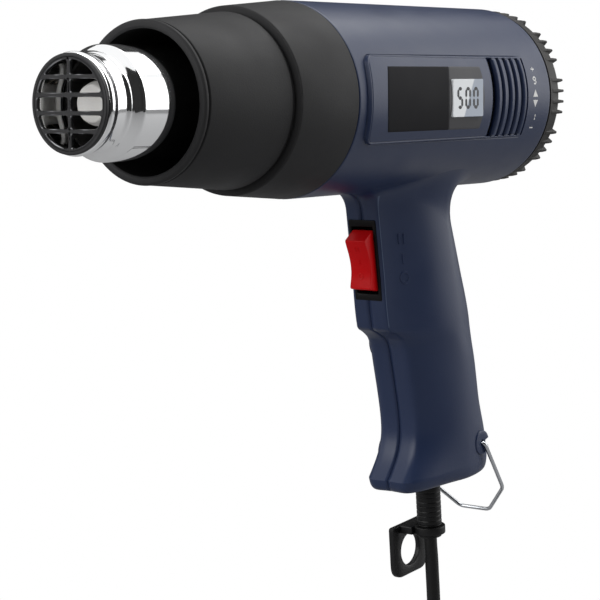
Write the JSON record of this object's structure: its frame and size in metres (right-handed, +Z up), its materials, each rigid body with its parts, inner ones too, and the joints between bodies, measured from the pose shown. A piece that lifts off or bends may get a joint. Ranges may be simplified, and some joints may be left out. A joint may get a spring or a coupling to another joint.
{
  "type": "hot air tool",
  "caption": "Pistol-grip hot air tool with a steel nozzle, a black heat sleeve, a rocker switch in the grip, a finned temperature dial at the tail and a mains cord.",
  "frame": {"origin": "middle of the hand grip, on the plane between the two shells", "axes": "+X from the nozzle towards the tail along the barrel, +Y to the right of the person holding it, +Z up"},
  "size_m": [0.2844, 0.0802, 0.4378],
  "materials": {
    "navy_plastic": "satin moulded",
    "black_plastic": "satin moulded",
    "nozzle_chrome": "polished",
    "dark_steel": "dark oxide",
    "steel": "bright drawn",
    "red_plastic": "glossy moulded",
    "plate_black": "matt sheet",
    "lcd_face": "clear window over a grey screen",
    "mica_sheet": "mica",
    "ceramic": "unglazed ceramic",
    "board_green": "lacquered board",
    "capacitor_amber": "dipped",
    "black_rubber": "matt rubber",
    "brass": "plain",
    "wire_red": "wire sheath",
    "wire_blue": "wire sheath"
  },
  "bodies": {
    "body": {"left_housing": "navy_plastic", "right_housing": "navy_plastic", "front_collar": "black_plastic", "heat_sleeve": "black_plastic", "air_guide": "black_plastic", "motor_cradle": "black_plastic", "inlet_guard": "black_plastic", "switch_body": "black_plastic", "triac": "black_plastic", "cord_clamp": "black_plastic", "nozzle_tube": "nozzle_chrome", "nozzle_grille": "dark_steel", "heating_coil": "steel", "motor_can": "steel", "pot_body": "steel", "rocker_pin": "steel", "clamp_screw_1": "steel", "clamp_screw_2": "steel", "case_screw_1": "steel", "case_screw_2": "steel", "case_screw_3": "steel", "case_screw_4": "steel", "case_screw_5": "steel", "case_screw_6": "steel", "label_plate": "plate_black", "lcd_module": "lcd_face", "mica_tube": "mica_sheet", "element_core": "ceramic", "display_board": "board_green", "power_board": "board_green", "capacitor": "capacitor_amber", "cord_guard": "black_rubber", "inner_lead": "black_rubber", "cord_lead": "black_rubber", "cord_coil": "black_rubber", "cord_tail": "black_rubber", "cord_tie": "black_rubber", "plug_body": "black_rubber", "switch_tab_1": "brass", "switch_tab_2": "brass", "switch_tab_3": "brass", "plug_pin_1": "brass", "plug_pin_2": "brass", "live_wire": "wire_red", "neutral_wire": "wire_blue"},
    "rocker": {"rocker": "red_plastic"},
    "dial": {"temperature_dial": "black_plastic", "pot_shaft": "steel"},
    "rotor": {"motor_shaft": "steel", "fan": "black_plastic"},
    "bail": {"hanging_bail": "steel"},
    "eye": {"hanger_eye": "black_rubber"}
  },
  "joints": [
    {"name": "rocker_tilt", "type": "hinge", "parent": "body", "child": "rocker", "pos_m": [-0.04174, 0, 0.05929], "axis": [0, 1, 0], "range_deg": [-12, 12]},
    {"name": "dial_turn", "type": "hinge", "parent": "body", "child": "dial", "pos_m": [0.042, 0, 0.125], "axis": [1, 0, 0], "range_deg": [-140, 140]},
    {"name": "rotor_spin", "type": "hinge", "parent": "body", "child": "rotor", "pos_m": [0.004, 0, 0.125], "axis": [1, 0, 0], "continuous": true},
    {"name": "bail_swing", "type": "hinge", "parent": "body", "child": "bail", "pos_m": [0.015, 0, -0.0245], "axis": [0, -1, 0], "range_deg": [-22, 128]},
    {"name": "eye_swivel", "type": "hinge", "parent": "body", "child": "eye", "pos_m": [0.00214, 0, -0.06263], "axis": [-0.0785, 0, 0.9969], "continuous": true}
  ]
}
